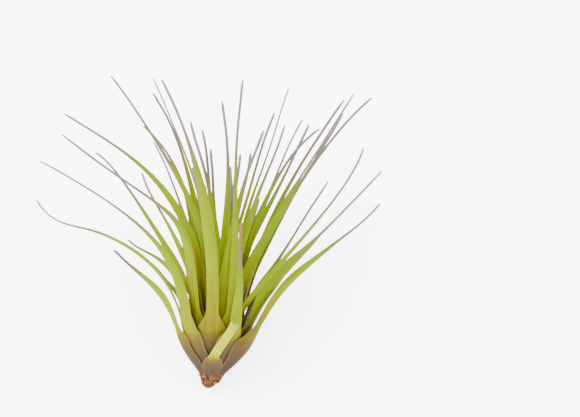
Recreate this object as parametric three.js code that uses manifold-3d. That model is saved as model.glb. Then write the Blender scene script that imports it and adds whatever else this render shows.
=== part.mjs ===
// Air plant, Tillandsia melanocrater: one rosette of stiff channelled leaves on a short stem, picked and
// lying on its side. Each leaf is a solid of its own: a broad sheath that clasps the ones inside it, and a
// narrow blade that runs out to a needle tip. Together the sheaths make the bowl at the foot of the plant.
// Millimetres, +Z up, origin on the table under the middle of the plant's box.
//
// The plant is drawn upright first: x to the right, y along the growth, z towards the viewer, from the
// middle of the stub's cut end. It is laid on its lowest sheath at the end.

import * as THREE from "three";
import { mergeVertices } from "three/addons/utils/BufferGeometryUtils.js";
import Module from "manifold-3d";

const wasm = await Module();
wasm.setup();

const { lerp, smoothstep, degToRad: degrees } = THREE.MathUtils;

// Stem: a tapered core that holds the leaves, and the cut stub below it
const CORE = { foot: [2.4, 7, 0], lean: degrees(6), radius: 6.4, topRadius: 1, length: 21, bevel: 1 };
// The stub's radii at heights along it, from its cut end
const STUB = { lean: degrees(14), profile: [[1.8, 0], [2.9, 1.7], [4.8, 4.6], [6.2, 6.6]] };
const STEM_SIDES = 14;
const SEAT_GAP = 0.25; // a leaf's foot stands this clear of the core

// Sheaths: nested shells, counted in layers from the heart outwards. Radii are measured from the core's
// axis and heights along it from the core's foot. Angles are flares away from the axis.
const SHEATH = {
  halfAngle: degrees(32), // how far a sheath reaches round the core, each way
  halfWidth: 11.5, // and the most that it measures to each side
  thickness: 0.65,
  footHeight: 1.2, // of the outermost sheath
  footRange: 18.3, // from there up to the innermost
  length: 23,
  innerRadius: 3.2, // at the shoulder
  outerRadius: 23.2,
  innerFlare: [degrees(26), degrees(2)], // at the foot and at the shoulder
  outerFlare: [degrees(44), degrees(20)],
  narrowsFrom: 0.78, // share of its length
  shoulderWidth: 0.7, // share of its width that is left at the shoulder, or the blade's where that is more
};

const BLADE = {
  width: 7.2,
  tipWidth: 1.7,
  taper: [0, 0.8], // shares of its length between which it narrows to a whip
  turned: 0.4, // share by which it has its full twist and channel
  thickness: 0.7,
  tipThickness: 0.9,
  tipRest: 0.64, // a tip on the table has its middle line this high
  channel: degrees(62), // half angle of the channelled section
  rise: 0.4, // share of its length over which a blade keeps the sheath's direction
  pull: 0.34, // and its tip's
};

// Shares of the sheath's and the blade's length where a leaf has a section
const SHEATH_RINGS = [0, 0.3, 0.55, 0.78, 1];
const BLADE_RINGS = [0.08, 0.2, 0.35, 0.51, 0.67, 0.83, 1];
const ACROSS = 4; // points across each face of a section
const FLAT = [3, 4]; // the two sheath sections between which the lowest leaf lies on the table

// Leaves, from the bowl's outside in, for eight directions round the core, from the right by way of the
// front. Neighbouring directions take alternate layers. The tip is a point of the upright plant, aim is
// the way it points in the front view, in degrees to the right. A tip without a depth lies on the table.
// Shift moves the sheath round the core, in degrees, rise is the share of the blade that keeps the
// sheath's direction and pull the share that keeps the tip's. Twist turns the blade's outer face about its
// length, in degrees. Width is the blade's and spread half the sheath's where they aren't the usual ones,
// and full is the share of a blade that keeps its width. The torn leaf's sheath reaches up only part of its
// shell, and its blade ends broad.
const LEAVES = {
  right: [
    { tip: [101, 107], aim: 40, shift: 23, rise: 0.4, pull: 0.34, twist: -25, width: 8.6 },
    {
      tip: [101, 126, 8], aim: 42, shift: 18, rise: 0.35,
      pull: 0.66, twist: -40, width: 11.4, full: 0.2,
    },
    { tip: [70, 120, -14], aim: 31, shift: 15, rise: 0.32, pull: 0.68, twist: -42 },
    { tip: [85, 171, -2], aim: 32, rise: 0.47, pull: 0.62, twist: -45 },
    { tip: [55, 156, 6], aim: 27, twist: -40 },
    { tip: [47, 174, 8], aim: 18, twist: -30 },
  ],
  front_right: [
    { tip: [20, 96, 40], aim: 0, shift: 16, rise: 0.25, width: 8, spread: 8, endWidth: 2.4 },
    { tip: [21, 178, 42], aim: 8, shift: 20, rise: 0.2 },
    { tip: [90, 139, 44], aim: 16, shift: -6, rise: 0.15, pull: 0.3, twist: -15, width: 5.6 },
    { tip: [95, 168, 28], aim: 48, shift: -10, rise: 0.16, pull: 0.38, twist: -35, width: 9.4 },
    { tip: [45, 152, 34], aim: 19, shift: -5, twist: -20 },
    { tip: [16, 124, 6], aim: 6 },
  ],
  front: [
    { tip: [16.5, 38, 29], aim: 22, shift: -2, rise: 0.14, width: 5.8, reach: 0.45, endWidth: 5.2 },
    { tip: [-25, 178, 50], aim: -25, shift: 7, full: 0.35 },
    { tip: [33, 149, 27], aim: 22, shift: -4 },
    { tip: [-9, 154, 34], aim: -15 },
    { tip: [9, 166, 22], aim: -7, shift: -4 },
    { tip: [-4, 114, 10], aim: -4 },
  ],
  front_left: [
    { tip: [-96, 132, 24], aim: -62, shift: 3, rise: 0.27, pull: 0.65, twist: 20, width: 9.2, spread: 8 },
    { tip: [-83, 147, 24], aim: -51, shift: -4, rise: 0.58, pull: 0.7, twist: 25 },
    { tip: [-37, 125, 20], aim: -18, twist: 15 },
    { tip: [-82, 159, 8], aim: -59, rise: 0.49, pull: 0.26, twist: 30 },
    { tip: [-55, 181, 16], aim: -35, shift: 5, rise: 0.4, twist: 20 },
    { tip: [-8, 128, 6], aim: -8 },
  ],
  left: [
    {
      tip: [-54, 80, -6], aim: -39, shift: -20, rise: 0.43,
      pull: 0.15, twist: 35, spread: 7.6, endWidth: 2.2,
    },
    { tip: [-101, 109], aim: -28, shift: -12, rise: 0.45, pull: 0.18, twist: 28, width: 5.2 },
    { tip: [-46, 86, -22], aim: -46, shift: -8, rise: 0.56, pull: 0.2, twist: 30, endWidth: 2.2 },
    { tip: [-65, 137, -26], aim: -55, shift: -10, rise: 0.15, pull: 0.17, twist: 45 },
    { tip: [-31, 143, -18], aim: -27, rise: 0.3, twist: 40 },
    { tip: [-31, 180, -6], aim: -24, twist: 30 },
  ],
  back_left: [
    { tip: [-34, 73, -40], aim: -44, rise: 0.34, twist: -25 },
    { tip: [-18, 96, -46], aim: -18, rise: 0.3, twist: -25 },
    { tip: [-38, 153, -50], aim: -46, twist: -25 },
    { tip: [-32, 172, -32], aim: -30, twist: -25 },
    { tip: [-3, 150, -24], aim: -12, rise: 0.3, twist: -25 },
    { tip: [-6, 120, -10], aim: -6, rise: 0.3, twist: -25 },
  ],
  back: [
    { tip: [-2, 118, -46], aim: -4, shift: 2, rise: 0.3 },
    { tip: [30, 110, -46], aim: 18, rise: 0.3 },
    { tip: [25, 137, -52], aim: 8, rise: 0.3 },
    { tip: [13, 129, -40], aim: -2, shift: 12, rise: 0.3 },
    { tip: [19, 136, -30], aim: 4, rise: 0.3 },
    { tip: [2, 139, -16], aim: 0, rise: 0.3 },
  ],
  back_right: [
    { tip: [66, 89, -42], aim: 42, rise: 0.2, twist: 20 },
    { tip: [80, 168, -44], aim: 38, shift: -8, rise: 0.25, pull: 0.4, twist: 30 },
    { tip: [79, 160, -32], aim: 29, rise: 0.3, twist: 30 },
    { tip: [65, 151, -30], aim: 50, rise: 0.36, twist: 30 },
    { tip: [59, 153, -18], aim: 22, rise: 0.32, twist: 30 },
    { tip: [39, 160, -8], aim: 20, rise: 0.3, twist: 20 },
  ],
};
const LAYERS = 2 * LEAVES.front.length;

// The core's axes in the upright plant
const coreFoot = new THREE.Vector3(...CORE.foot);
const coreAxis = new THREE.Vector3(Math.sin(CORE.lean), Math.cos(CORE.lean), 0);
const coreRight = new THREE.Vector3(Math.cos(CORE.lean), -Math.sin(CORE.lean), 0);
const coreFront = new THREE.Vector3(0, 0, 1);
const coreRadius = (height) => lerp(CORE.radius, CORE.topRadius, Math.min(1, height / CORE.length));

// A sheath's side view as a Bezier of [radius, height]: from the core out to the bowl's rim
function sheathCurve(layer) {
  const out = layer / (LAYERS - 1);
  const footHeight = SHEATH.footHeight + SHEATH.footRange * (1 - out);
  const [footFlare, rimFlare] = SHEATH.innerFlare.map((inner, i) =>
    lerp(inner, SHEATH.outerFlare[i], out),
  );
  const foot = new THREE.Vector2(coreRadius(footHeight) + SEAT_GAP, footHeight);
  const rimRadius = lerp(SHEATH.innerRadius, SHEATH.outerRadius, out);
  const rim = new THREE.Vector2(rimRadius, footHeight + SHEATH.length);
  const pull = foot.distanceTo(rim) / 3;
  const step = (flare) => new THREE.Vector2(Math.sin(flare), Math.cos(flare)).multiplyScalar(pull);
  const handles = [foot.clone().add(step(footFlare)), rim.clone().sub(step(rimFlare))];
  return new THREE.CubicBezierCurve(foot, ...handles, rim);
}

// Points of a leaf's section: an arc of the outer face, then the inner face back along it
function section(centre, outward, across, radius, wall, halfAngle) {
  const arc = (r) =>
    Array.from({ length: ACROSS }, (_, i) => {
      const turn = halfAngle * ((2 * i) / (ACROSS - 1) - 1);
      return centre
        .clone()
        .addScaledVector(outward, r * Math.cos(turn))
        .addScaledVector(across, r * Math.sin(turn));
    });
  return [...arc(radius), ...arc(Math.max(radius - wall, 0.1)).reverse()];
}

// What places one leaf: its shell's side view, its directions round the core, and the end of its sheath
function rooted(leaf, direction, place) {
  const layer = LAYERS - 1 - 2 * place - (direction % 2);
  const turn = degrees(45 * direction + (leaf.shift ?? 0));
  const outward = coreRight
    .clone()
    .multiplyScalar(Math.cos(turn))
    .addScaledVector(coreFront, Math.sin(turn));
  const curve = sheathCurve(layer);
  const reach = leaf.reach ?? 1; // share of its shell that this sheath covers
  const shoulder = curve.getPoint(reach);
  return {
    leaf,
    curve,
    outward,
    across: new THREE.Vector3().crossVectors(outward, coreAxis),
    reach,
    shoulder,
    bladeWidth: Math.min(leaf.width ?? BLADE.width, 2 * shoulder.x * Math.sin(SHEATH.halfAngle)),
  };
}

function sheathSections({ leaf, curve, outward, across, reach, bladeWidth }) {
  return SHEATH_RINGS.map((share) => {
    const at = curve.getPoint(share * reach);
    const wall = SHEATH.thickness / curve.getTangent(share * reach).y;
    const radius = at.x + wall;
    const widest = Math.min(leaf.spread ?? SHEATH.halfWidth, radius * Math.sin(SHEATH.halfAngle));
    const shoulder = Math.max(bladeWidth / 2, widest * SHEATH.shoulderWidth);
    const half = lerp(widest, shoulder, smoothstep(share, SHEATH.narrowsFrom, 1));
    const centre = coreFoot.clone().addScaledVector(coreAxis, at.y);
    return section(centre, outward, across, radius, wall, Math.asin(Math.min(1, half / radius)));
  });
}

function bladeSections({ leaf, curve, outward, across, reach, shoulder, bladeWidth }) {
  const along = curve.getTangent(reach);
  const start = coreFoot.clone().addScaledVector(coreAxis, shoulder.y).addScaledVector(outward, shoulder.x);
  const startWay = coreAxis.clone().multiplyScalar(along.y).addScaledVector(outward, along.x);
  const [x, y, z = tableDepth(leaf.tip[0], leaf.tip[1])] = leaf.tip;
  const tip = new THREE.Vector3(x, y, z);
  const length = start.distanceTo(tip);
  const run = Math.hypot(x - start.x, y - start.y);
  const aim = degrees(leaf.aim);
  const tipWay = new THREE.Vector3(Math.sin(aim), Math.cos(aim), (z - start.z) / run).normalize();
  const blade = new THREE.CubicBezierCurve3(
    start,
    start.clone().addScaledVector(startWay, length * (leaf.rise ?? BLADE.rise)),
    tip.clone().addScaledVector(tipWay, -length * (leaf.pull ?? BLADE.pull)),
    tip,
  );
  return BLADE_RINGS.map((share) => {
    const way = blade.getTangent(share);
    const sideways = across.clone().addScaledVector(way, -across.dot(way)).normalize();
    const turned = smoothstep(share, 0, BLADE.turned);
    sideways.applyAxisAngle(way, degrees(leaf.twist ?? 0) * turned);
    const out = new THREE.Vector3().crossVectors(way, sideways);
    const narrowed = smoothstep(share, leaf.full ?? BLADE.taper[0], BLADE.taper[1]);
    const width = lerp(bladeWidth, leaf.endWidth ?? BLADE.tipWidth, narrowed);
    const wall = lerp(BLADE.thickness, BLADE.tipThickness, share);
    const sheathBend = Math.asin(Math.min(1, width / 2 / shoulder.x));
    const half = lerp(sheathBend, BLADE.channel, turned);
    const radius = width / 2 / Math.sin(half);
    const centre = blade.getPoint(share).addScaledVector(out, wall - radius);
    return section(centre, out, sideways, radius, wall, half);
  });
}

// A closed skin over sections of equal length. Both faces of each step are split along the same diagonal.
function skin(sections) {
  const size = 2 * ACROSS;
  const index = [];
  for (let j = 0; j + 1 < sections.length; j += 1)
    for (let i = 0; i < size; i += 1) {
      const a = j * size + i;
      const b = j * size + ((i + 1) % size);
      const c = a + size;
      const d = b + size;
      if (i < ACROSS - 1) index.push(a, c, b, b, c, d);
      else index.push(a, d, b, a, c, d);
    }
  const last = (sections.length - 1) * size;
  for (let i = 0; i < ACROSS - 1; i += 1) {
    const [a, b, c, d] = [i, i + 1, size - 2 - i, size - 1 - i];
    index.push(a, b, c, a, c, d);
    index.push(last + a, last + c, last + b, last + a, last + d, last + c);
  }
  const geometry = new THREE.BufferGeometry();
  const positions = sections.flat().flatMap((point) => point.toArray());
  geometry.setAttribute("position", new THREE.Float32BufferAttribute(positions, 3));
  geometry.setIndex(index);
  return geometry;
}

const roots = Object.entries(LEAVES).flatMap(([direction, leaves], d) =>
  leaves.map((leaf, i) => ({ name: `leaf_${direction}_${i + 1}`, ...rooted(leaf, d, i) })),
);

// The plant is turned until the middle facet of its lowest sheath faces straight down, and set down on it
const lowest = sheathSections(roots.find((root) => root.name === "leaf_back_1"));
const facet = new THREE.Triangle(lowest[FLAT[0]][1], lowest[FLAT[0]][2], lowest[FLAT[1]][1]);
const down = facet.getNormal(new THREE.Vector3());
if (down.z > 0) down.negate();
const LAID = new THREE.Quaternion().setFromUnitVectors(down, new THREE.Vector3(0, 0, -1));
const RAISED = facet.a.dot(down);

// Depth in the upright plant of the middle of a tip that lies on the table
function tableDepth(x, y) {
  return (RAISED - BLADE.tipRest - x * down.x - y * down.y) / down.z;
}

// Solid of a closed geometry, for joining
function solid(geometry, matrix) {
  const bare = geometry.clone();
  bare.deleteAttribute("normal");
  bare.deleteAttribute("uv");
  const merged = mergeVertices(bare.applyMatrix4(matrix), 1e-3);
  return new wasm.Manifold(
    new wasm.Mesh({
      numProp: 3,
      vertProperties: merged.attributes.position.array,
      triVerts: new Uint32Array(merged.index.array),
    }),
  );
}

// The core and the stub in one body
function stemGeometry() {
  const turned = (profile, lean, foot) =>
    solid(
      new THREE.LatheGeometry(profile.map(([r, y]) => new THREE.Vector2(r, y)), STEM_SIDES),
      new THREE.Matrix4().makeTranslation(...foot).multiply(new THREE.Matrix4().makeRotationZ(-lean)),
    );
  const core = turned(
    [
      [0, -CORE.bevel],
      [CORE.radius - CORE.bevel, -CORE.bevel],
      [CORE.radius, 0],
      [CORE.topRadius, CORE.length],
      [0, CORE.length],
    ],
    CORE.lean,
    CORE.foot,
  );
  const stub = turned([[0, 0], ...STUB.profile, [0, STUB.profile.at(-1)[1]]], STUB.lean, [0, 0, 0]);
  const mesh = core.add(stub).getMesh();
  const geometry = new THREE.BufferGeometry();
  geometry.setAttribute("position", new THREE.BufferAttribute(mesh.vertProperties, 3));
  geometry.setIndex(new THREE.BufferAttribute(mesh.triVerts, 1));
  return geometry;
}

const leafMaterial = new THREE.MeshStandardMaterial({ color: 0xa3b443, roughness: 0.55, metalness: 0 });
const stemMaterial = new THREE.MeshStandardMaterial({ color: 0x9a6a48, roughness: 0.85, metalness: 0 });

const plant = new THREE.Group();
plant.quaternion.copy(LAID);
plant.position.z = RAISED;
const stem = new THREE.Mesh(stemGeometry(), stemMaterial);
stem.name = "stem";
plant.add(stem);

for (const root of roots) {
  const mesh = new THREE.Mesh(skin([...sheathSections(root), ...bladeSections(root)]), leafMaterial);
  mesh.name = root.name;
  plant.add(mesh);
}

const part = new THREE.Group();
part.add(plant);
const middle = new THREE.Box3().setFromObject(part, true).getCenter(new THREE.Vector3());
plant.position.x -= middle.x;
plant.position.y -= middle.y;

export default part;
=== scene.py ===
import bpy
import numpy as np
from mathutils import Matrix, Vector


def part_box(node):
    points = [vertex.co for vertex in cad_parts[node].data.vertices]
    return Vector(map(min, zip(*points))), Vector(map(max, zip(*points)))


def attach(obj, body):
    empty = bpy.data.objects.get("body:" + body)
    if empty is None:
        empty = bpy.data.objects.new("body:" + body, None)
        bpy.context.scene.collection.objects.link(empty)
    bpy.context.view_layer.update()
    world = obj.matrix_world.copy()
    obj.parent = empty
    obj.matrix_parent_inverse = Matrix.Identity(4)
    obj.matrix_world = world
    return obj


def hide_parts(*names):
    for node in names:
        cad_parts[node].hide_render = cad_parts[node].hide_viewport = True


# An air plant, Tillandsia melanocrater, picked and lying on a pale table.
# Every piece is worked out upright and in millimetres, from the middle of the stub's cut end: x to the
# right, y along the growth and z towards the viewer. laidDown() turns it on to its lowest sheath, in metres.

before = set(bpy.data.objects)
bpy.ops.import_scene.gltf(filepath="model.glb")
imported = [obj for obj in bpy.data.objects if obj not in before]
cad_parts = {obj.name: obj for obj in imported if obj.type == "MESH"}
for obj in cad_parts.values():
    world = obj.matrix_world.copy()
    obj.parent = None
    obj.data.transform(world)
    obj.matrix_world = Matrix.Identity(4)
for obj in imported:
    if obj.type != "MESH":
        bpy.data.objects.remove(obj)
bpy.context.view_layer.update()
print("frame loaded:", len(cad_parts), "nodes")


def unit(ways):
    # each way over its own length
    return ways / np.linalg.norm(ways, axis=-1, keepdims=True)


def between(a, b, share):
    # a at share 0, b at share 1 and evenly between them
    return a + (b - a) * share


def eased(x, low, high):
    # 0 below low, 1 above high and 3t^2 - 2t^3 between them
    t = np.clip((x - low) / (high - low), 0, 1)
    return t * t * (3 - 2 * t)


def bezier(handles, share):
    # points and unit tangents of a cubic Bezier at an array of shares
    a, b, c, d = np.asarray(handles, float)
    u = np.asarray(share, float)[:, None]
    v = 1 - u
    places = v**3 * a + 3 * v * v * u * b + 3 * v * u * u * c + u**3 * d
    ways = v * v * (b - a) + 2 * v * u * (c - b) + u * u * (d - c)
    return places, unit(ways)


# The short stem inside the bowl: a cone that leans to the right. The sheaths' feet stand seatGap off it.
core = {"foot": (2.4, 7, 0), "lean": 6, "radius": 6.4, "topRadius": 1, "length": 21, "seatGap": 0.25}

# The clasping sheaths, in layers from the heart outwards; flares are degrees away from the core's axis
sheath = {
    "halfAngle": 32,
    "halfWidth": 11.5,
    "thickness": 0.65,
    "footHeight": 1.2,
    "footRange": 18.3,
    "length": 23,
    "innerRadius": 3.2,
    "outerRadius": 23.2,
    "innerFlare": (26, 2),
    "outerFlare": (44, 20),
    "squaring": 0.55,  # from this share of its length on, a sheath's face turns square with its shell
    "narrowing": 7,  # the length below the shoulder over which a sheath narrows to its blade
}

# The stiff blades; taper gives the shares of the length between which a blade narrows to its whip, full in
# a leaf takes the place of the first, and rise and pull are its Bezier's handles as shares of its length
blade = {
    "width": 7.2,
    "tipWidth": 1.7,
    "pointWidth": 1.1,
    "taper": (0, 0.8),
    "thickness": 0.7,
    "tipThickness": 0.9,
    "tipRest": 0.64,  # where a tip lies on the table, the middle of its inner face is this high
    "channel": 62,
    "turned": 0.4,  # over this share of its length it twists and folds to its channel
    "rise": 0.4,
    "pull": 0.34,
    "shoulderRun": 0.08,  # the share of its length over which the sheath's width runs out
    "bunching": 1.15,  # the power that draws its sections towards the shoulder
}

# Leaves from the bowl's outside in. A tip without a depth lies on the table; aim is where it points, in
# degrees to the right of the growth. shift turns the foot round the core and twist the blade round its
# length, spread is the sheath's half width, flick dips a whip, and a torn leaf has a short reach and a kept
# share. tone runs from 0, pale yellow green, to 1, deep olive; brown lifts the brown of the sheath, blush is
# the pink of a dried whip and dry the share of the blade that has withered.
leaves = {
    "right": [
        {
            "tip": (101, 107), "aim": 40, "shift": 23, "rise": 0.4, "pull": 0.34, "twist": -25,
            "width": 8.6, "tone": 0.3, "brown": 0.18,
        },
        {
            "tip": (101, 126, 8), "aim": 42, "shift": 18, "rise": 0.35, "pull": 0.66, "twist": -40,
            "width": 11.4, "full": 0.2, "tone": 0.85,
        },
        {
            "tip": (70, 120, -14), "aim": 31, "shift": 15, "rise": 0.32, "pull": 0.68, "twist": -42,
            "tone": 0.7,
        },
        {"tip": (85, 171, -2), "aim": 32, "rise": 0.47, "pull": 0.62, "twist": -45, "tone": 0.6},
        {"tip": (55, 156, 6), "aim": 27, "twist": -40, "tone": 0.55},
        {"tip": (47, 174, 8), "aim": 18, "twist": -30, "tone": 0.5},
    ],
    "front_right": [
        {
            "tip": (20, 96, 40), "aim": 0, "shift": 16, "rise": 0.25, "width": 8, "spread": 8,
            "endWidth": 2.4, "tone": 0.05, "dry": 0.2,
        },
        {"tip": (21, 178, 42), "aim": 8, "shift": 20, "rise": 0.2, "tone": 0.25},
        {
            "tip": (90, 139, 44), "aim": 16, "shift": -6, "rise": 0.15, "pull": 0.3, "twist": -15,
            "width": 5.6, "tone": 0.7,
        },
        {
            "tip": (95, 168, 28), "aim": 48, "shift": -10, "rise": 0.16, "pull": 0.38, "twist": -35,
            "width": 9.4, "tone": 0.85,
        },
        {"tip": (45, 152, 34), "aim": 19, "shift": -5, "twist": -20, "tone": 0.4},
        {"tip": (16, 124, 6), "aim": 6, "tone": 0.5},
    ],
    "front": [
        {
            "tip": (16.5, 38, 29), "aim": 22, "shift": -2, "rise": 0.14, "width": 5.8, "reach": 0.45,
            "endWidth": 5.2, "tone": -0.6, "kept": 0.3, "dry": 0.62, "brown": 0.12,
        },
        {"tip": (-25, 178, 50), "aim": -25, "shift": 7, "full": 0.35, "tone": 0.1, "brown": 0.05},
        {"tip": (33, 149, 27), "aim": 22, "shift": -4, "tone": 0.35},
        {"tip": (-9, 154, 34), "aim": -15, "tone": 0.4},
        {"tip": (9, 166, 22), "aim": -7, "shift": -4, "tone": 0.45},
        {"tip": (-4, 114, 10), "aim": -4, "tone": 0.5},
    ],
    "front_left": [
        {
            "tip": (-96, 132, 24), "aim": -62, "shift": 3, "rise": 0.27, "pull": 0.65, "twist": 20,
            "width": 9.2, "spread": 8, "tone": 0.1, "blush": 0.4,
        },
        {
            "tip": (-83, 147, 24), "aim": -51, "shift": -4, "rise": 0.58, "pull": 0.7, "twist": 25,
            "tone": 0.35, "blush": 0.35,
        },
        {"tip": (-37, 125, 20), "aim": -18, "twist": 15, "tone": 0.3},
        {
            "tip": (-82, 159, 8), "aim": -59, "rise": 0.49, "pull": 0.26, "twist": 30, "tone": 0.35,
            "blush": 0.3,
        },
        {
            "tip": (-55, 181, 16), "aim": -35, "shift": 5, "rise": 0.4, "twist": 20, "tone": 0.4,
            "blush": 0.2,
        },
        {"tip": (-8, 128, 6), "aim": -8, "tone": 0.5},
    ],
    "left": [
        {
            "tip": (-54, 80, -6), "aim": -39, "shift": -20, "rise": 0.43, "pull": 0.15, "twist": 35,
            "spread": 7.6, "endWidth": 2.2, "tone": 0.25, "blush": 0.8,
        },
        {
            "tip": (-101, 109), "aim": -28, "shift": -12, "rise": 0.45, "pull": 0.18, "twist": 28,
            "width": 5.2, "tone": 0.3, "blush": 0.8, "flick": 2.2,
        },
        {
            "tip": (-46, 86, -22), "aim": -46, "shift": -8, "rise": 0.56, "pull": 0.2, "twist": 30,
            "endWidth": 2.2, "tone": 0.35, "blush": 0.25,
        },
        {
            "tip": (-65, 137, -26), "aim": -55, "shift": -10, "rise": 0.15, "pull": 0.17, "twist": 45,
            "tone": 0.5,
        },
        {"tip": (-31, 143, -18), "aim": -27, "rise": 0.3, "twist": 40, "tone": 0.5},
        {"tip": (-31, 180, -6), "aim": -24, "twist": 30, "tone": 0.45},
    ],
    "back_left": [
        {"tip": (-34, 73, -40), "aim": -44, "rise": 0.34, "twist": -25, "tone": 0.5},
        {"tip": (-18, 96, -46), "aim": -18, "rise": 0.3, "twist": -25, "tone": 0.6},
        {"tip": (-38, 153, -50), "aim": -46, "twist": -25, "tone": 0.5},
        {"tip": (-32, 172, -32), "aim": -30, "twist": -25, "tone": 0.55},
        {"tip": (-3, 150, -24), "aim": -12, "rise": 0.3, "twist": -25, "tone": 0.6},
        {"tip": (-6, 120, -10), "aim": -6, "rise": 0.3, "twist": -25, "tone": 0.6},
    ],
    "back": [
        {"tip": (-2, 118, -46), "aim": -4, "shift": 2, "rise": 0.3, "tone": 0.6},
        {"tip": (30, 110, -46), "aim": 18, "rise": 0.3, "tone": 0.65},
        {"tip": (25, 137, -52), "aim": 8, "rise": 0.3, "tone": 0.6},
        {"tip": (13, 129, -40), "aim": -2, "shift": 12, "rise": 0.3, "tone": 0.6},
        {"tip": (19, 136, -30), "aim": 4, "rise": 0.3, "tone": 0.65},
        {"tip": (2, 139, -16), "aim": 0, "rise": 0.3, "tone": 0.6},
    ],
    "back_right": [
        {"tip": (66, 89, -42), "aim": 42, "rise": 0.2, "twist": 20, "tone": 0.8},
        {
            "tip": (80, 168, -44), "aim": 38, "shift": -8, "rise": 0.25, "pull": 0.4, "twist": 30,
            "tone": 0.75,
        },
        {"tip": (79, 160, -32), "aim": 29, "rise": 0.3, "twist": 30, "tone": 0.7},
        {"tip": (65, 151, -30), "aim": 50, "rise": 0.36, "twist": 30, "tone": 0.65},
        {"tip": (59, 153, -18), "aim": 22, "rise": 0.32, "twist": 30, "tone": 0.7},
        {"tip": (39, 160, -8), "aim": 20, "rise": 0.3, "twist": 20, "tone": 0.65},
    ],
}
layers = 2 * len(leaves["front"])

coreLean = np.radians(core["lean"])
coreFoot = np.array(core["foot"], float)
coreAxis = np.array([np.sin(coreLean), np.cos(coreLean), 0])
coreRight = np.array([np.cos(coreLean), -np.sin(coreLean), 0])
coreFront = np.array([0.0, 0, 1])


def coreRadius(height):
    # a cone, from the foot's radius to the top's
    return between(core["radius"], core["topRadius"], np.minimum(1, height / core["length"]))


def sheathCurve(layer):
    # Bezier in (radius, height) from the core to the bowl's rim; each handle is a third of the way along
    # its flare
    out = layer / (layers - 1)
    footHeight = sheath["footHeight"] + sheath["footRange"] * (1 - out)
    inner, outer = np.radians(sheath["innerFlare"]), np.radians(sheath["outerFlare"])
    flares = between(inner, outer, out)
    rimRadius = between(sheath["innerRadius"], sheath["outerRadius"], out)
    foot = np.array([coreRadius(footHeight) + core["seatGap"], footHeight])
    rim = np.array([rimRadius, footHeight + sheath["length"]])
    pull = np.linalg.norm(rim - foot) / 3
    steps = pull * np.stack([np.sin(flares), np.cos(flares)], axis=1)
    return foot, foot + steps[0], rim - steps[1], rim


def broadest(radius, most=sheath["halfWidth"]):
    # a sheath's half width: what its half angle spans at this radius, and no more than most
    return np.minimum(most, radius * np.sin(np.radians(sheath["halfAngle"])))


def rooted(leaf, direction, place):
    # the leaf's layer, and its outward and sideways directions round the core
    layer = layers - 1 - 2 * place - direction % 2
    turn = np.radians(360 / len(leaves) * direction + leaf.get("shift", 0))
    outward = coreRight * np.cos(turn) + coreFront * np.sin(turn)
    return {**leaf, "layer": layer, "outward": outward, "across": np.cross(outward, coreAxis)}


roots = {
    f"leaf_{side}_{place + 1}": rooted(leaf, direction, place)
    for direction, (side, group) in enumerate(leaves.items())
    for place, leaf in enumerate(group)
}


def sheathPoint(root, share, aside, left=1):
    # A point of the sheath's outer face, at a share of its length. aside is its share of the half angle, and
    # left the share of the half width that is left there, which is never less than the blade's.
    (radius, height), way = (rows[0] for rows in bezier(sheathCurve(root["layer"]), [share]))
    radius += sheath["thickness"] / way[1]
    half = np.arcsin(max(blade["width"] / 2, left * broadest(radius)) / radius)
    spoke = root["outward"] * np.cos(half * aside) + root["across"] * np.sin(half * aside)
    return coreFoot + coreAxis * height + spoke * radius


# The flat spot that the plant lies on: the middle facet of the lowest sheath, as in the solids. It runs from
# one share of the sheath's length to another, and at the second the sheath has narrowed to the share left.
flatSpot = {"leaf": "leaf_back_1", "from": 0.78, "to": 1, "aside": 1 / 3, "left": 0.7}
lowRoot = roots[flatSpot["leaf"]]
spotA = sheathPoint(lowRoot, flatSpot["from"], -flatSpot["aside"])
spotB = sheathPoint(lowRoot, flatSpot["from"], flatSpot["aside"])
spotC = sheathPoint(lowRoot, flatSpot["to"], -flatSpot["aside"], flatSpot["left"])

# the way down from the upright plant to the table, and how far along it the flat spot lies
down = unit(np.cross(spotB - spotA, spotC - spotA))
down = down if down[2] < 0 else -down
raised = spotA @ down


def turnBetween(a, b):
    # the least rotation that takes unit vector a to unit vector b, by Rodrigues' formula
    x, y, z = np.cross(a, b)
    skew = np.array([[0, -z, y], [z, 0, -x], [-y, x, 0]])
    return np.eye(3) + skew + skew @ skew / (1 + a @ b)


laidTurn = turnBetween(down, np.array([0.0, 0, -1]))


def tipPlace(root):
    # a tip without a depth lies on the table, where the middle of its inner face stands tipRest above it
    x, y, *depth = root["tip"]
    onTableTop = (raised - blade["tipRest"] - x * down[0] - y * down[1]) / down[2]
    return np.array([x, y, *(depth or [onTableTop])], float)


def sheathRun(root, count):
    # Sections of a sheath, evenly along its shell: the middle of the inner face, the way out and the wall.
    # The way out is the spoke from the core at first and comes square with the shell at the shoulder.
    share = np.linspace(0, 1, count)
    shell, lean = bezier(sheathCurve(root["layer"]), share * root.get("reach", 1))
    outward = root["outward"]
    square = np.outer(lean[:, 1], outward) - np.outer(lean[:, 0], coreAxis)
    outs = unit(between(outward, square, eased(share, sheath["squaring"], 1)[:, None]))
    return {
        "share": share,
        "inner": coreFoot + np.outer(shell[:, 1], coreAxis) + np.outer(shell[:, 0], outward),
        "outs": outs,
        "walls": sheath["thickness"] / np.sum(outs * square, axis=1),
        "radii": shell[:, 0],
        "endWay": coreAxis * lean[-1, 1] + outward * lean[-1, 0],
    }


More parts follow.
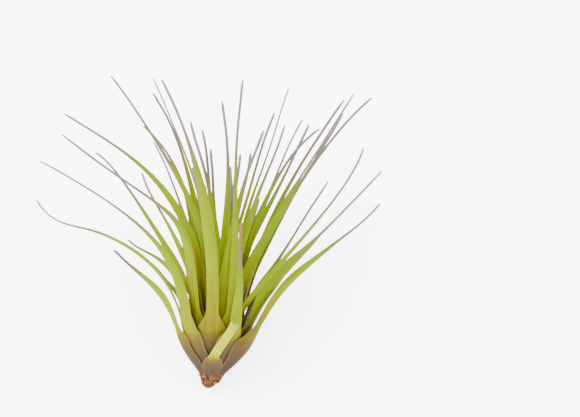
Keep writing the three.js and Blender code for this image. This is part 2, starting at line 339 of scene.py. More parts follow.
def bladeRun(root, start, startWay, count):
    # Sections of a blade along a cubic Bezier from the shoulder to the tip: the middle of the inner face,
    # the ways along, aside and out, and the straight length that the handles are shares of
    share = np.linspace(0, 1, count + 1)[1:] ** blade["bunching"]
    tip, aim = tipPlace(root), np.radians(root["aim"])
    length, run = np.linalg.norm(tip - start), np.hypot(*(tip - start)[:2])
    tipWay = unit(np.array([np.sin(aim), np.cos(aim), (tip[2] - start[2]) / run]))
    rise, pull = (length * root.get(key, blade[key]) for key in ("rise", "pull"))
    inner, ways = bezier([start, start + startWay * rise, tip - tipWay * pull, tip], share)
    sides = unit(root["across"] - (ways @ root["across"])[:, None] * ways)
    twist = np.radians(root.get("twist", 0)) * eased(share, 0, blade["turned"])
    sides = sides * np.cos(twist)[:, None] + np.cross(ways, sides) * np.sin(twist)[:, None]
    outs = np.cross(ways, sides)
    return {"share": share, "inner": inner, "ways": ways, "sides": sides, "outs": outs, "length": length}


def leafSpine(root, sheathRows, bladeRows):
    # What a leaf is carried along, one row for each section: the middle of its outer face, the ways out,
    # aside and along, the section's radius, half angle and wall, and the growth, from 0 at the foot by way
    # of 1 at the shoulder to 2 at the tip. The half width falls from the sheath's to the blade's round the
    # shoulder, and the half angle goes from what that width spans on the bowl to the blade's channel.
    low = sheathRun(root, sheathRows)
    high = bladeRun(root, low["inner"][-1], low["endWay"], bladeRows)
    share, onSheath, onBlade = high["share"], np.ones(sheathRows), np.ones(bladeRows)
    bladeWalls = between(blade["thickness"], blade["tipThickness"], share)
    walls = np.concatenate([low["walls"], bladeWalls])
    outs = np.concatenate([low["outs"], high["outs"]])
    middles = np.concatenate([low["inner"], high["inner"]]) + outs * walls[:, None]
    steps = np.linalg.norm(np.diff(middles, axis=0), axis=1)
    lengths = np.concatenate([[0], np.cumsum(steps)])

    bladeWidth = min(root.get("width", blade["width"]), 2 * broadest(low["radii"][-1], np.inf))
    narrowed = eased(share, root.get("full", blade["taper"][0]), blade["taper"][1])
    widths = between(bladeWidth, root.get("endWidth", blade["tipWidth"]), narrowed)
    narrow = np.concatenate([bladeWidth * onSheath, widths]) / 2
    radii = low["radii"] + low["walls"]
    radii = np.concatenate([radii, radii[-1] * onBlade])
    broad = broadest(radii, root.get("spread", sheath["halfWidth"]))
    atShoulder = lengths[sheathRows - 1]
    runOut = atShoulder + blade["shoulderRun"] * high["length"]
    fallen = eased(lengths, atShoulder - sheath["narrowing"], runOut)
    halves = between(np.maximum(broad, narrow), narrow, fallen)

    bends = np.arcsin(np.minimum(1, halves / radii))
    folded = np.concatenate([0 * onSheath, eased(share, 0, blade["turned"])])
    halfAngles = between(bends, np.radians(blade["channel"]), folded)
    return {
        "middles": middles,
        "outs": outs,
        "sides": np.concatenate([np.outer(onSheath, root["across"]), high["sides"]]),
        "ways": np.concatenate([np.outer(onSheath, low["endWay"]), high["ways"]]),
        "radii": halves / np.sin(halfAngles),
        "halfAngles": halfAngles,
        "walls": walls,
        "growth": np.concatenate([low["share"], 1 + share * root.get("kept", 1)]),
        "lengths": lengths,
    }


# Gentle bends of a blade: their size in millimetres to each side and as a share of that outwards, the number
# of waves, and the shares of the blade over which they grow and fade and a flick runs
sway = {
    "size": 0.55,
    "outward": 0.6,
    "waves": (0.8, 1.5),
    "grows": (0.1, 0.6),
    "fades": (0.85, 1),
    "flick": (0.5, 1),
}


def swaying(spine, root, chance):
    # Moves the middles aside and out by two sine waves that grow from the shoulder, and dips an S-curved
    # whip by a half wave before its tip
    u = np.clip(spine["growth"] - 1, 0, 1)
    start, waves = chance.uniform(0, 2 * np.pi, 2), chance.uniform(*sway["waves"], 2)
    grown = sway["size"] * eased(u, *sway["grows"]) * (1 - eased(u, *sway["fades"]))
    aside = grown * np.sin(start[0] + 2 * np.pi * waves[0] * u)
    out = sway["outward"] * grown * np.sin(start[1] + 2 * np.pi * waves[1] * u)
    moved = spine["sides"] * aside[:, None] + spine["outs"] * out[:, None]
    if "flick" in root:
        dip = root["flick"] * np.sin(np.pi * eased(u, *sway["flick"]))
        moved = moved + unit(np.cross(coreFront, spine["ways"])) * dip[:, None]
    spine["middles"] = spine["middles"] + moved
    return spine


# How finely a leaf is divided: sections along the sheath and the blade, and points across each face. Edges
# sharper than crease, in degrees, aren't shaded smooth. The random draws start from seed, and the pattern
# of the skin moves on by patternStep from leaf to leaf.
leafGrid = {"sheath": 26, "blade": 72, "across": 13, "crease": 50, "seed": 400, "patternStep": 7.3}

# A leaf's margins: how much of the wall is gone there, the waves of the sheath's papery ones, how far these
# are pressed on to the sheath inside, and the zones of growth where that begins and ends. The point narrows
# over the last shares of the blade, and a torn end is ragged over its own shares, by this many millimetres.
margins = {
    "thinning": 0.7,
    "wave": 0.12,
    "waveCycle": 0.55,  # radians a millimetre
    "waveZone": ((0.25, 0.7), (1, 1.3)),
    "clasp": 1.5,
    "claspZone": ((0, 0.15), (0.9, 1.1)),
    "pointZone": (0.97, 1),
    "ragged": 1.4,
    "raggedZone": (0.75, 1),
    "mostWall": 0.8,  # the wall's share of the section's radius, at most
}


def zone(x, ends):
    # 1 in a zone, eased from 0 before it and to 0 after it
    (startLow, startHigh), (endLow, endHigh) = ends
    return eased(x, startLow, startHigh) * (1 - eased(x, endLow, endHigh))


def leafRings(root, chance):
    # Sections of a leaf as closed rings: an arc of the outer face, then the inner face back along it. The
    # wall thins by the fourth power of the way aside, the margins of the sheath wave in and out by a sine
    # times its sixth power, and they are pressed inwards by its third.
    spine = swaying(leafSpine(root, leafGrid["sheath"], leafGrid["blade"]), root, chance)
    aside = np.linspace(-1, 1, leafGrid["across"])
    growth, lengths = spine["growth"], spine["lengths"][:, None]
    u = np.clip((growth - 1) / root.get("kept", 1), 0, 1)
    point = between(1, blade["pointWidth"] / blade["tipWidth"], eased(u, *margins["pointZone"]))[:, None]
    turn = spine["halfAngles"][:, None] * aside
    radius = spine["radii"][:, None] * np.ones_like(aside)
    wall = spine["walls"][:, None] * (1 - margins["thinning"] * aside**4) * point
    wall = np.minimum(wall, margins["mostWall"] * radius)
    phase = chance.uniform(0, 2 * np.pi, 2)
    wave = np.sin(lengths * margins["waveCycle"] + np.where(aside < 0, phase[0], phase[1]))
    radial = margins["wave"] * zone(growth, margins["waveZone"])[:, None] * aside**6 * wave
    radial -= margins["clasp"] * zone(growth, margins["claspZone"])[:, None] * np.abs(aside) ** 3

    def face(depth):
        r = radius * point - depth
        out = (r * np.cos(turn) - radius * point + radial)[..., None] * spine["outs"][:, None, :]
        side = (r * np.sin(turn))[..., None] * spine["sides"][:, None, :]
        return spine["middles"][:, None, :] + out + side

    rings = np.concatenate([face(0), face(wall)[:, ::-1]], axis=1)
    if "kept" in root:
        # a torn end: each strip across the blade stops at its own length
        ragged = margins["ragged"] * chance.uniform(-1, 1, leafGrid["across"])
        ragged = eased(u, *margins["raggedZone"])[:, None] * np.concatenate([ragged, ragged[::-1]])
        rings += ragged[..., None] * spine["ways"][:, None, :]
    around = np.concatenate([aside, aside[::-1]])
    arc = turn * radius
    arcs = np.concatenate([arc, arc[:, ::-1]], axis=1)
    return {
        "rings": rings,
        "map": np.stack([arcs, np.tile(lengths, len(around))], axis=-1),
        "growth": np.tile(growth[:, None], len(around)),
        "inside": np.tile(np.repeat([0.0, 1], len(aside)), (len(growth), 1)),
        "edge": np.tile(np.abs(around), (len(growth), 1)),
    }


def tubeQuads(rings, around):
    # four corners for each step round and along closed rings, and strips across the two ends
    ring = np.arange(around)
    base = np.arange(rings - 1)[:, None] * around
    a, b = base + ring, base + (ring + 1) % around
    walls = np.stack([a, a + around, b + around, b], axis=-1).reshape(-1, 4)
    i = np.arange(around // 2 - 1)
    cap = np.stack([i, i + 1, around - 2 - i, around - 1 - i], axis=-1)
    return np.concatenate([walls, cap, cap[:, ::-1] + (rings - 1) * around])


def enclosed(places, quads):
    # six times the signed volume: the sum of a . (b x c) over the triangles
    a, b, c, d = (places[quads[:, k]] for k in range(4))
    return np.sum(a * np.cross(b, c)) + np.sum(a * np.cross(c, d))


def laidDown(places):
    # turned on to the flat spot, moved on to the table, and in metres
    return (places @ laidTurn.T + onTable) / 1000


# The offset comes from the frame: where the solids have the tip of the highest left leaf, the corner of
# whose box lies half the whip's width to the side of the tip
guide = "leaf_front_left_5"
guideTip = laidTurn @ tipPlace(roots[guide])
guideSide = laidTurn @ leafSpine(roots[guide], 2, 1)["sides"][-1]
overhang = np.abs(guideSide) * blade["tipWidth"] / 2
low, high = (np.array(corner) * 1000 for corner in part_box(guide))
onTable = np.array([low[0] - guideTip[0] + overhang[0], high[1] - guideTip[1] - overhang[1], raised])


def pieceFrom(name, places, quads, crease, nodes=(), values=None, uv=None):
    # Puts a closed quad mesh into the scene, with its values on the points and its map in millimetres;
    # nothing reaches below the table
    if enclosed(places, quads) < 0:
        quads = quads[:, ::-1]
    mesh = bpy.data.meshes.new(name)
    mesh.vertices.add(len(places))
    laid = laidDown(places)
    laid[:, 2] = np.maximum(laid[:, 2], 0)
    mesh.vertices.foreach_set("co", laid.astype(np.float32).ravel())
    mesh.loops.add(quads.size)
    mesh.loops.foreach_set("vertex_index", quads.astype(np.int32).ravel())
    mesh.polygons.add(len(quads))
    mesh.polygons.foreach_set("loop_start", np.arange(0, quads.size, 4, dtype=np.int32))
    mesh.polygons.foreach_set("use_smooth", np.ones(len(quads), dtype=bool))
    mesh.update(calc_edges=True)
    mesh.set_sharp_from_angle(angle=np.radians(crease))
    for key, value in (values or {}).items():
        field = mesh.attributes.new(key, "FLOAT", "POINT")
        field.data.foreach_set("value", np.broadcast_to(value, len(places)).astype(np.float32).ravel())
    if uv is not None:
        corners = mesh.uv_layers.new(name="leafMap")
        corners.data.foreach_set("uv", uv[quads.ravel()].astype(np.float32).ravel())
    piece = bpy.data.objects.new(name, mesh)
    bpy.context.scene.collection.objects.link(piece)
    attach(piece, "root")
    if nodes:
        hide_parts(*nodes)
    return piece


leafPieces = []
for number, (node, root) in enumerate(roots.items()):
    made = leafRings(root, np.random.default_rng(leafGrid["seed"] + number))
    count, around = made["rings"].shape[:2]
    words = node.split("_")
    piece = pieceFrom(
        words[0] + "".join(word.capitalize() for word in words[1:]),
        made["rings"].reshape(-1, 3),
        tubeQuads(count, around),
        leafGrid["crease"],
        nodes=[node],
        values={
            "growth": made["growth"].ravel(),
            "inside": made["inside"].ravel(),
            "edge": made["edge"].ravel(),
            "tone": root["tone"],
            "blush": root.get("blush", 0),
            "dry": root.get("dry", 0),
            "heart": 1 - root["layer"] / (layers - 1),
            "brown": root.get("brown", 0),
            "seed": number * leafGrid["patternStep"],
        },
        uv=made["map"].reshape(-1, 2),
    )
    leafPieces.append(piece)
print("leaves made:", len(leafPieces))

# The stem: core and stub in one surface of revolution round a bent axis, with a rough, pitted skin. The
# profile holds heights and radii, collar is where the core begins and coreTop how high it ends. bend and
# shown are the heights between which the axis turns from the stub's lean to the core's and the roughness
# fades out inside the bowl.
stub = {
    "lean": 14,
    "profile": ((0, 1.2), (0.5, 2.1), (1.7, 3.0), (4.6, 4.9), (6.6, 6.2)),
    "collar": (9, 6.3),
    "coreTop": 28,
    "bend": (3, 12),
    "shown": (8, 11),
    "rows": 60,
    "bunching": 1.4,
    "around": 48,
    "crease": 60,
    "seed": 71,
}

# Its bark: ridges are waves round the stub, lower the more there are round it, that drift as they climb, and
# knots are a coarser swell up and down it. The size of both is a share of the radius.
bark = {
    "size": 0.045,
    "waves": (3, 15),
    "fall": 0.6,
    "drift": 0.5,
    "driftHeight": 4,
    "knots": 0.5,
    "knotCycle": 2.3,  # radians a millimetre
    "knotTurn": 2,
}


def stemRings(chance):
    # radius by height from the profile, then the core's cone; lengthwise ridges are sines with random phases
    profile = np.array([*stub["profile"], stub["collar"], (stub["coreTop"], core["topRadius"])], float)
    height = np.linspace(0, 1, stub["rows"]) ** stub["bunching"] * stub["coreTop"]
    radius = np.interp(height, profile[:, 0], profile[:, 1])
    turn = np.linspace(0, 2 * np.pi, stub["around"], endpoint=False)
    bent = np.radians(between(stub["lean"], core["lean"], eased(height, *stub["bend"])))
    step = np.diff(height, prepend=0)
    middle = np.stack([np.cumsum(np.sin(bent) * step), np.cumsum(np.cos(bent) * step), 0 * height], axis=1)
    rough = np.zeros((len(height), len(turn)))
    for wave in range(*bark["waves"]):
        drift = chance.normal(0, bark["drift"]) * height[:, None] / bark["driftHeight"]
        rough += np.sin(wave * turn + chance.uniform(0, 2 * np.pi) + drift) / wave ** bark["fall"]
    swell = bark["knotTurn"] * np.sin(2 * turn)
    rough += bark["knots"] * np.sin(height[:, None] * bark["knotCycle"] + swell)
    shown = 1 - eased(height, *stub["shown"])
    reach = radius[:, None] * (1 + bark["size"] * rough * shown[:, None])
    right = np.stack([np.cos(bent), -np.sin(bent), 0 * bent], axis=1)
    spokes = right[:, None, :] * np.cos(turn)[None, :, None] + coreFront * np.sin(turn)[None, :, None]
    return middle[:, None, :] + spokes * reach[..., None]


stemPlaces = stemRings(np.random.default_rng(stub["seed"]))
stem = pieceFrom(
    "stemStub",
    stemPlaces.reshape(-1, 3),
    tubeQuads(*stemPlaces.shape[:2]),
    stub["crease"],
    nodes=["stem"],
)
print("stem made")

# Dry remains of old sheaths round the top of the stub; turn is counted from the right by way of the front,
# and foot, top and the radii belong to the core's axis
oldSheaths = (
    {"turn": 62, "half": 34, "foot": -3.4, "top": 3.6, "radii": (4.9, 8.6)},
    {"turn": 118, "half": 30, "foot": -2.6, "top": 3.2, "radii": (5.0, 8.4)},
    {"turn": 6, "half": 30, "foot": -3.8, "top": 3.8, "radii": (4.7, 8.9)},
    {"turn": 172, "half": 32, "foot": -1.8, "top": 3.6, "radii": (5.6, 8.6)},
    {"turn": 232, "half": 36, "foot": -2.2, "top": 3.0, "radii": (5.2, 8.3)},
    {"turn": 300, "half": 36, "foot": -3.0, "top": 3.2, "radii": (4.9, 8.4)},
)

# How they are torn, in millimetres: the fray of each strip's lower end, how much sooner the strips at the
# sides stop, and the crinkle of the lower edge, with its waves and the range of their phase. footShare is
# how wide they are at the foot, and along and across count the points of each face.
tear = {
    "along": 16,
    "across": 21,
    "wall": 0.4,
    "fray": 1.1,
    "rounding": 1.6,
    "crinkle": 0.25,
    "waves": 9,
    "phase": 6,
    "footShare": 0.8,
    "crease": 60,
    "seed": 90,
}


def oldSheathRings(remains, chance):
    # A cone's sector with a frayed lower edge: each strip starts at its own height. Rings run along the
    # sheath, each an arc of the outer face and the inner one back along it.
    share = np.linspace(0, 1, tear["along"])[:, None]
    aside = np.linspace(-1, 1, tear["across"])
    fray = chance.uniform(0, 1, tear["across"]) ** 2 * tear["fray"] + tear["rounding"] * aside**2
    height = remains["foot"] + fray + (remains["top"] - remains["foot"] - fray) * share
    steep = (height - remains["foot"]) / (remains["top"] - remains["foot"])
    crinkle = tear["crinkle"] * np.sin(tear["waves"] * aside + chance.uniform(0, tear["phase"]))
    radius = between(*remains["radii"], steep) + crinkle * (1 - share)
    turn = np.radians(remains["turn"] + remains["half"] * aside * between(tear["footShare"], 1, share))

    def face(depth):
        spokes = coreRight * np.cos(turn)[..., None] + coreFront * np.sin(turn)[..., None]
        return coreFoot + coreAxis * height[..., None] + spokes * (radius - depth)[..., None]

    return np.concatenate([face(0), face(tear["wall"])[:, ::-1]], axis=1)


dryPieces = []
for number, remains in enumerate(oldSheaths):
    rings = oldSheathRings(remains, np.random.default_rng(tear["seed"] + number))
    quads = tubeQuads(*rings.shape[:2])
    piece = pieceFrom(f"oldSheath{number + 1}", rings.reshape(-1, 3), quads, tear["crease"])
    dryPieces.append(piece)

# Dry fibres that wind down the stub, in millimetres; sweep is how far round it they go, in degrees, lift and
# arch how far they stand off the bark at their ends and in the middle, and thinning the share of the radius
# that is gone at the tip, over the shares of the length in thins
fibre = {
    "count": 16,
    "start": (2.2, 6),
    "drop": (1.2, 3.6),
    "sweep": (-70, 70),
    "radius": (0.2, 0.38),
    "lift": 0.1,
    "arch": 0.35,
    "thinning": 0.7,
    "thins": (0.6, 1),
    "sections": 20,
    "around": 8,
    "crease": 70,
    "seed": 140,
}


def fibreRings(chance):
    # a tube whose middle keeps to the bark: its height and turn run evenly, it stands off by a half sine
    # wave, and its radius thins by 3t^2 - 2t^3
    share = np.linspace(0, 1, fibre["sections"])
    height = chance.uniform(*fibre["start"]) - chance.uniform(*fibre["drop"]) * share
    turn = chance.uniform(0, 2 * np.pi) + np.radians(chance.uniform(*fibre["sweep"])) * share
    offBark = fibre["lift"] + fibre["arch"] * np.sin(np.pi * share)
    radius = np.interp(height, *zip(*stub["profile"])) + offBark
    lean = np.radians(stub["lean"])
    axis = np.array([np.sin(lean), np.cos(lean), 0])
    right = np.array([np.cos(lean), -np.sin(lean), 0])
    spokes = np.outer(np.cos(turn), right) + np.outer(np.sin(turn), coreFront)
    middles = np.outer(height, axis) + spokes * radius[:, None]
    ways = unit(np.gradient(middles, axis=0))
    side = unit(np.cross(ways, spokes))
    thick = chance.uniform(*fibre["radius"]) * (1 - fibre["thinning"] * eased(share, *fibre["thins"]))
    angle = np.linspace(0, 2 * np.pi, fibre["around"], endpoint=False)
    ring = side[:, None] * np.cos(angle)[:, None] + spokes[:, None] * np.sin(angle)[:, None]
    return middles[:, None] + ring * thick[:, None, None]


for number in range(fibre["count"]):
    rings = fibreRings(np.random.default_rng(fibre["seed"] + number))
    quads = tubeQuads(*rings.shape[:2])
    piece = pieceFrom(f"dryFibre{number + 1}", rings.reshape(-1, 3), quads, fibre["crease"])
    dryPieces.append(piece)
print("old sheaths and fibres made:", len(dryPieces))


class Wire:
    # a node's output that takes part in a sum: each operator adds a Math node
    def __init__(self, paint, socket):
        self.paint, self.socket = paint, socket

    def sum(self, operation, a, b=0.0):
        return self.paint.node("ShaderNodeMath", {"operation": operation}, {0: a, 1: b})

    def __add__(self, other):
        return self.sum("ADD", self, other)

    def __sub__(self, other):
        return self.sum("SUBTRACT", self, other)

    def __rsub__(self, other):
        return self.sum("SUBTRACT", other, self)

    def __mul__(self, other):
        return self.sum("MULTIPLY", self, other)

    __radd__ = __add__
    __rmul__ = __mul__


def shade(code):
    # a colour written as on the web, as Blender's linear red, green, blue and alpha
    parts = np.array([int(code[k : k + 2], 16) for k in (1, 3, 5)]) / 255
    linear = np.where(parts <= 0.04045, parts / 12.92, ((parts + 0.055) / 1.055) ** 2.4)
    return (*linear.tolist(), 1.0)


class Paint:
    # a material and the kinds of node that the skins use; low and high are where a soft edge begins and ends
    def __init__(self, name):
        self.material = bpy.data.materials.new(name)
        self.material.use_nodes = True
        self.tree = self.material.node_tree
        self.tree.nodes.clear()

    def node(self, kind, settings=None, sockets=None, output=0):
        node = self.tree.nodes.new(kind)
        for key, value in (settings or {}).items():
            if key == "stops":
                self.setStops(node.color_ramp.elements, value)
            else:
                setattr(node, key, value)
        for key, value in (sockets or {}).items():
            if isinstance(value, Wire):
                self.tree.links.new(value.socket, node.inputs[key])
            else:
                node.inputs[key].default_value = value
        return Wire(self, node.outputs[output])

    def setStops(self, elements, stops):
        while len(elements) > 1:
            elements.remove(elements[-1])
        elements[0].position, elements[0].color = stops[0]
        for place, colour in stops[1:]:
            elements.new(place).color = colour

    def value(self, name):
        return self.node("ShaderNodeAttribute", {"attribute_name": name}, output="Fac")

    def blend(self, share, a, b):
        return self.node("ShaderNodeMix", {"data_type": "RGBA"}, {0: share, 6: a, 7: b}, output=2)

    def larger(self, a, b):
        return self.node("ShaderNodeMath", {"operation": "MAXIMUM"}, {0: a, 1: b})

    def ease(self, x, low, high):
        sockets = {"Value": x, "From Min": low, "From Max": high}
        return self.node("ShaderNodeMapRange", {"interpolation_type": "SMOOTHSTEP"}, sockets)

    def ramp(self, x, stops, top=1):
        # stops are pairs of a place, counted up to top, and a colour's code
        shades = [(at / top, shade(code)) for at, code in stops]
        return self.node("ShaderNodeValToRGB", {"stops": shades}, {"Fac": x})

    def stretched(self, vector, scales):
        return self.node("ShaderNodeVectorMath", {"operation": "MULTIPLY"}, {0: vector, 1: scales})

    def noise(self, vector, scale, detail, roughness):
        sockets = {"Vector": vector, "Scale": scale, "Detail": detail, "Roughness": roughness}
        return self.node("ShaderNodeTexNoise", {}, sockets)

    def point(self, x, y, z):
        return self.node("ShaderNodeCombineXYZ", {}, {0: x, 1: y, 2: z})

    def finish(self, colour, roughness, specular, height, bump):
        # bump is its strength and its depth in metres
        lift = {"Height": height, "Strength": bump[0], "Distance": bump[1]}
        normal = self.node("ShaderNodeBump", {}, lift)
        sockets = {"Base Color": colour, "Roughness": roughness, "Specular IOR Level": specular}
        shader = self.node("ShaderNodeBsdfPrincipled", {}, {**sockets, "Normal": normal})
        out = self.tree.nodes.new("ShaderNodeOutputMaterial")
        self.tree.links.new(shader.socket, out.inputs["Surface"])
        return self.material


# Leaf colours, by growth from the foot by way of the shoulder (1) to the tip (2)
leafColours = {
    "pale": (
        (0.0, "#342820"),
        (0.4, "#3B2F22"),
        (0.64, "#44371B"),
        (0.82, "#524A10"),
        (1.0, "#636402"),
        (1.15, "#606E01"),
        (1.45, "#5E6E01"),
        (1.6, "#5A6010"),
        (1.74, "#544C40"),
        (2.0, "#686062"),
    ),
    "deep": (
        (0.0, "#20160D"),
        (0.45, "#302212"),
        (0.75, "#392B08"),
        (0.95, "#4C4702"),
        (1.15, "#596202"),
        (1.35, "#4D5D03"),
        (1.55, "#525C08"),
        (1.68, "#504E28"),
        (1.8, "#4C4442"),
        (2.0, "#625A5C"),
    ),
    # the dark brown of the crater on the inner face of a sheath, also the colour of the painted shade deep
    # in the bowl
    "craterAndShade": "#2A1B02",
    "yellowed": "#858E04",
    "blush": "#5C3C34",
    "straw": "#655129",
    "scurf": "#8F8E78",
    "margin": "#5F4630",
    "vein": "#1A1402",
}

# Noise on a leaf: cycles a millimetre across and along it, a step of the leaf's seed, detail and roughness
leafNoise = {
    "veins": (2.6, 0.05, 0, 3, 0.6),
    "streaks": (0.55, 0.045, 3, 2, 0.5),
    "clouds": (0.1, 0.06, 5, 2, 0.5),
    "scales": (5, 2.2, 0, 2, 0.7),
}

# Where the soft edges on a leaf begin and end: by growth, by way to the edge, by noise, or by the value that
# the leaf has for the whole of it
leafEdges = {
    "green": (1.15, 1.5),
    "tone": (-0.1, 1.1),
    "yellowLeaf": (0.1, 0.5),
    "yellow": (0.86, 0.98),
    "pink": (0.45, 0.75),
    "pinkFades": (0.85, 1),
    "dryLeaf": (0.02, 0.1),
    "straw": (0.88, 1.02),
    # painted shade deep in the bowl: the leaves it falls on, by heart, and where it fades up the leaf, by
    # growth
    "deepLeaf": (0.12, 0.3),
    "sunk": (0.8, 1.2),
    # the dark inner face of a sheath, the crater's own colour, fades out up the leaf here, by growth
    "craterAndShade": (0.75, 1.15),
    "craterEdge": (0.5, 1),
    "veins": (0.38, 0.62),
    "scales": (0.52, 0.72),
    "scurf": (0.75, 1.05),
    "marginEdge": (0.82, 1),
    "margin": (1.1, 1.5),
    "papery": (0.6, 1.1),
}

# How much each does: drifts move the border of a colour, in growth, and the others are shares
leafAmounts = {
    "streakDrift": 0.3,
    "cloudDrift": 0.2,
    "heartBrown": 0.22,  # how much higher the brown climbs on the innermost leaf
    "cloudTone": 0.4,
    "yellowDrift": 0.3,
    "pinkDrift": 0.2,
    "pinkFading": 0.5,
    "strawDrift": 0.25,
    # how strong the painted shade deep in the bowl is, then the dark of the crater's inner face, its own
    # colour
    "sunk": 0.75,
    "craterAndShade": 0.9,
    "craterEdge": 0.6,
    "vein": 0.16,
    "scurf": 0.16,
    "margin": 0.35,
}

# The finish of the skin: its roughness, what the scurf and the papery sheath add to it, how high veins,
# scales and streaks stand, and the bump's strength and its depth in metres
leafFinish = {
    "roughness": 0.5,
    "scurfRoughness": 1.2,
    "paperRoughness": 0.16,
    "veinHeight": 0.6,
    "scaleHeight": 0.25,
    "streakHeight": 0.6,
    "bump": (0.5, 0.00012),
    "specular": 0.01,
}


def leafSkin():
    # Streaked along the leaf: noise on the map, stretched lengthwise, moves the border of each colour and
    # darkens the veins; a fine scurf greys it, the face inside a sheath is nearly black, and painted shade
    # darkens the foot of the leaves deep in the bowl.
    paint = Paint("leafSkin")
    much = leafAmounts
    growth, inside, edge = paint.value("growth"), paint.value("inside"), paint.value("edge")
    tone, blush, dry = paint.value("tone"), paint.value("blush"), paint.value("dry")
    heart, brown, seed = paint.value("heart"), paint.value("brown"), paint.value("seed")
    place = paint.node("ShaderNodeUVMap", {"uv_map": "leafMap"})
    across = paint.node("ShaderNodeSeparateXYZ", {}, {0: place}, output=0)
    along = paint.node("ShaderNodeSeparateXYZ", {}, {0: place}, output=1)

    def grain(name):
        acrossScale, alongScale, step, detail, roughness = leafNoise[name]
        spot = paint.point(across * acrossScale, along * alongScale, seed + step)
        return paint.noise(spot, 1, detail, roughness)

    def past(x, name):
        return paint.ease(x, *leafEdges[name])

    def tint(share, name):
        return paint.blend(share, colour, shade(leafColours[name]))

    veins, scales = grain("veins"), grain("scales")
    streaks, clouds = grain("streaks") - 0.5, grain("clouds") - 0.5  # half is the middle of a noise

    # the brown of the sheath climbs higher on the leaves deeper in the bowl
    drift = streaks * much["streakDrift"] + clouds * much["cloudDrift"]
    climbed = growth - (heart * much["heartBrown"] + brown) * (1 - past(growth, "green"))
    half = (climbed + drift) * 0.5  # growth ends at 2, a ramp at 1
    pale, deep = (paint.ramp(half, leafColours[name], top=2) for name in ("pale", "deep"))
    colour = paint.blend(past(tone + clouds * much["cloudTone"], "tone"), pale, deep)
    yellowed = past(0 - tone, "yellowLeaf") * past(climbed + drift * much["yellowDrift"], "yellow")
    colour = tint(yellowed, "yellowed")
    # pink whips and withered ends
    u = growth - 1
    faded = 1 - past(u, "pinkFades") * much["pinkFading"]
    colour = tint(blush * past(u + streaks * much["pinkDrift"], "pink") * faded, "blush")
    strawy = past(u + dry + streaks * much["strawDrift"], "straw") * past(dry, "dryLeaf")
    colour = tint(strawy, "straw")
    # the dark inner face of a sheath, the crater's own colour, and painted shade on the foot of the
    # leaves deep in the bowl
    sunk = (1 - past(growth + drift, "sunk")) * past(heart, "deepLeaf") * much["sunk"]
    central = 1 - past(edge, "craterEdge") * much["craterEdge"]
    dark = inside * (1 - past(growth + drift, "craterAndShade")) * central
    colour = tint(paint.larger(sunk, dark * much["craterAndShade"]), "craterAndShade")
    # veins, a silvery scurf that is thicker on the sheath, and a brown margin
    ridges = past(veins, "veins")
    colour = tint((1 - ridges) * much["vein"], "vein")
    frosted = past(scales, "scales") * (1 - past(growth, "scurf")) * much["scurf"]
    colour = tint(frosted, "scurf")
    margin = past(edge, "marginEdge") * (1 - past(growth, "margin")) * much["margin"]
    colour = tint(margin, "margin")

    paper = (1 - past(growth, "papery")) * leafFinish["paperRoughness"]
    roughness = leafFinish["roughness"] + frosted * leafFinish["scurfRoughness"] + paper
    fine = scales * leafFinish["scaleHeight"] + streaks * leafFinish["streakHeight"]
    height = ridges * leafFinish["veinHeight"] + fine
    return paint.finish(colour, roughness, leafFinish["specular"], height, leafFinish["bump"])


# The stub's bark and the dry sheaths and fibres on it: stretch is the cycles a metre along each axis of a
# piece's coordinates, fine across the plant and coarse along it, and roughness goes from one value to the
# other with the noise
barkLook = {
    "stretch": (900, 260, 900),
    "fibres": (4, 0.65),  # detail and roughness of the noise
    "stops": ((0.3, "#120B06"), (0.44, "#2D1A0D"), (0.55, "#683A12"), (0.68, "#945E28")),
    "pitScale": 520,
    "pits": (3, 0.6),
    "pitEdge": (0.36, 0.5),
    "pit": "#190E07",
    "fibreHeight": 0.8,
    "roughness": (0.7, 0.95),
    "specular": 0.12,
    "bump": (0.9, 0.0005),
}
dryLook = {
    "stretch": (1100, 240, 1100),
    "stripes": (3, 0.6),
    "stops": ((0.3, "#22140B"), (0.5, "#392515"), (0.7, "#573C22")),
    "spotScale": 420,
    "spots": (2, 0.5),
    "spotEdge": (0.55, 0.7),
    "spotShare": 0.6,
    "spot": "#67482D",
    "spotHeight": 0.4,
    "roughness": (0.75, 0.95),
    "specular": 0.1,
    "bump": (0.8, 0.0003),
}


def stubSkin():
    # Bark of old stem: orange fibres over dark pits, from noise on Object coordinates stretched lengthwise
    paint, look = Paint("stubSkin"), barkLook
    place = paint.node("ShaderNodeTexCoord", {}, output="Object")
    fibres = paint.noise(paint.stretched(place, look["stretch"]), 1, *look["fibres"])
    pits = paint.noise(place, look["pitScale"], *look["pits"])
    pitted = 1 - paint.ease(pits, *look["pitEdge"])
    colour = paint.blend(pitted, paint.ramp(fibres, look["stops"]), shade(look["pit"]))
    roughness = between(*look["roughness"], pits)
    height = fibres * look["fibreHeight"] + pits
    return paint.finish(colour, roughness, look["specular"], height, look["bump"])


def remainsSkin():
    # Papery brown, lighter along fine stripes; noise on Object coordinates stretched along the plant
    paint, look = Paint("remainsSkin"), dryLook
    place = paint.node("ShaderNodeTexCoord", {}, output="Object")
    stripes = paint.noise(paint.stretched(place, look["stretch"]), 1, *look["stripes"])
    spots = paint.noise(place, look["spotScale"], *look["spots"])
    spotted = paint.ease(spots, *look["spotEdge"]) * look["spotShare"]
    colour = paint.blend(spotted, paint.ramp(stripes, look["stops"]), shade(look["spot"]))
    roughness = between(*look["roughness"], spots)
    height = stripes + spots * look["spotHeight"]
    return paint.finish(colour, roughness, look["specular"], height, look["bump"])


leafMaterial = leafSkin()
for piece in leafPieces:
    piece.data.materials.append(leafMaterial)
stem.data.materials.append(stubSkin())
drySkin = remainsSkin()
for piece in dryPieces:
    piece.data.materials.append(drySkin)
print("materials made")

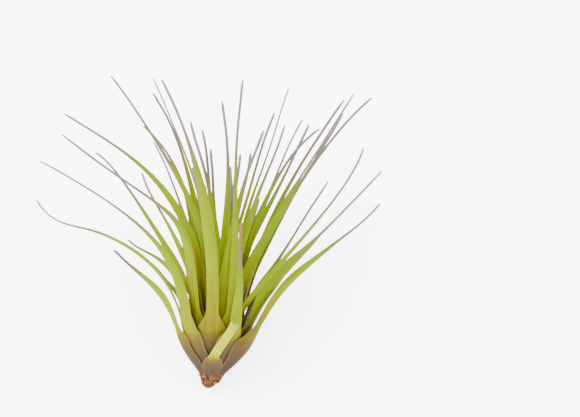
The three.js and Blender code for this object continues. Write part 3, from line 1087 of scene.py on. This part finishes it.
# The table: a pale matt sheet in metres, whose glow stands for a ground that is lit until it is nearly white
table = {"size": 3.0, "colour": "#FAFAFB", "roughness": 0.7, "glow": 3.0}
half = table["size"] / 2
floorMesh = bpy.data.meshes.new("tableTop")
corners = [(-half, -half, 0), (half, -half, 0), (half, half, 0), (-half, half, 0)]
floorMesh.from_pydata(corners, [], [(0, 1, 2, 3)])
floor = bpy.data.objects.new("tableTop", floorMesh)
bpy.context.scene.collection.objects.link(floor)
floorMaterial = bpy.data.materials.new("tablePaint")
floorMaterial.use_nodes = True
floorShader = floorMaterial.node_tree.nodes["Principled BSDF"]
floorShader.inputs["Base Color"].default_value = shade(table["colour"])
floorShader.inputs["Roughness"].default_value = table["roughness"]
floorShader.inputs["Emission Color"].default_value = (1, 1, 1, 1)
floorShader.inputs["Emission Strength"].default_value = table["glow"]
floorMesh.materials.append(floorMaterial)

# Soft boxes round the plant; places are in metres in the plant's own upright directions
lights = {
    "key": {"at": (-0.9, 0.9, 1.3), "size": 1.8, "power": 120},
    "fill": {"at": (1.2, 0.2, 1.2), "size": 1.4, "power": 29},
    "low": {"at": (-0.2, -1.3, 0.8), "size": 1.2, "power": 21},
}


def standing(thing, place, turn):
    # puts a lamp or camera into the scene; it looks the opposite way to the third column of turn
    holder = bpy.data.objects.new(thing.name, thing)
    holder.matrix_world = Matrix.Translation(place.tolist()) @ Matrix(turn.tolist()).to_4x4()
    bpy.context.scene.collection.objects.link(holder)
    return holder


for name, light in lights.items():
    lamp = bpy.data.lights.new(name, "AREA")
    lamp.shape = "DISK"
    lamp.size = light["size"]
    lamp.energy = light["power"]
    spot = laidTurn @ np.array(light["at"], float)
    away = unit(spot)
    side = unit(np.cross([0, 1, 0], away))
    standing(lamp, spot, np.stack([side, np.cross(away, side), away], axis=1))

# White surroundings light the plant from all sides
studio = {"colour": (1, 1, 1, 1), "glow": 3.1}
world = bpy.data.worlds.new("studio")
world.use_nodes = True
world.node_tree.nodes["Background"].inputs["Color"].default_value = studio["colour"]
world.node_tree.nodes["Background"].inputs["Strength"].default_value = studio["glow"]
bpy.context.scene.world = world

# The photograph's frame, in pixels: its size, its scale at the plant and where it shows the stub's end. The
# camera stands square to the plant's front; its distance and reach are in metres.
photo = {"width": 580, "height": 417, "mmPerPixel": 0.58, "stubEnd": (207, 388)}
shot = {"distance": 3.2, "sensor": 36, "reach": 20}
aimX = (photo["width"] / 2 - photo["stubEnd"][0]) * photo["mmPerPixel"]
aimY = (photo["stubEnd"][1] - photo["height"] / 2) * photo["mmPerPixel"]
camera = bpy.data.cameras.new("camera")
camera.sensor_width = shot["sensor"]
camera.lens = shot["sensor"] * shot["distance"] / (photo["width"] * photo["mmPerPixel"] / 1000)
camera.clip_end = shot["reach"]
place = laidDown(np.array([aimX, aimY, 0])) + laidTurn[:, 2] * shot["distance"]
bpy.context.scene.camera = standing(camera, place, laidTurn)
print("stage set")
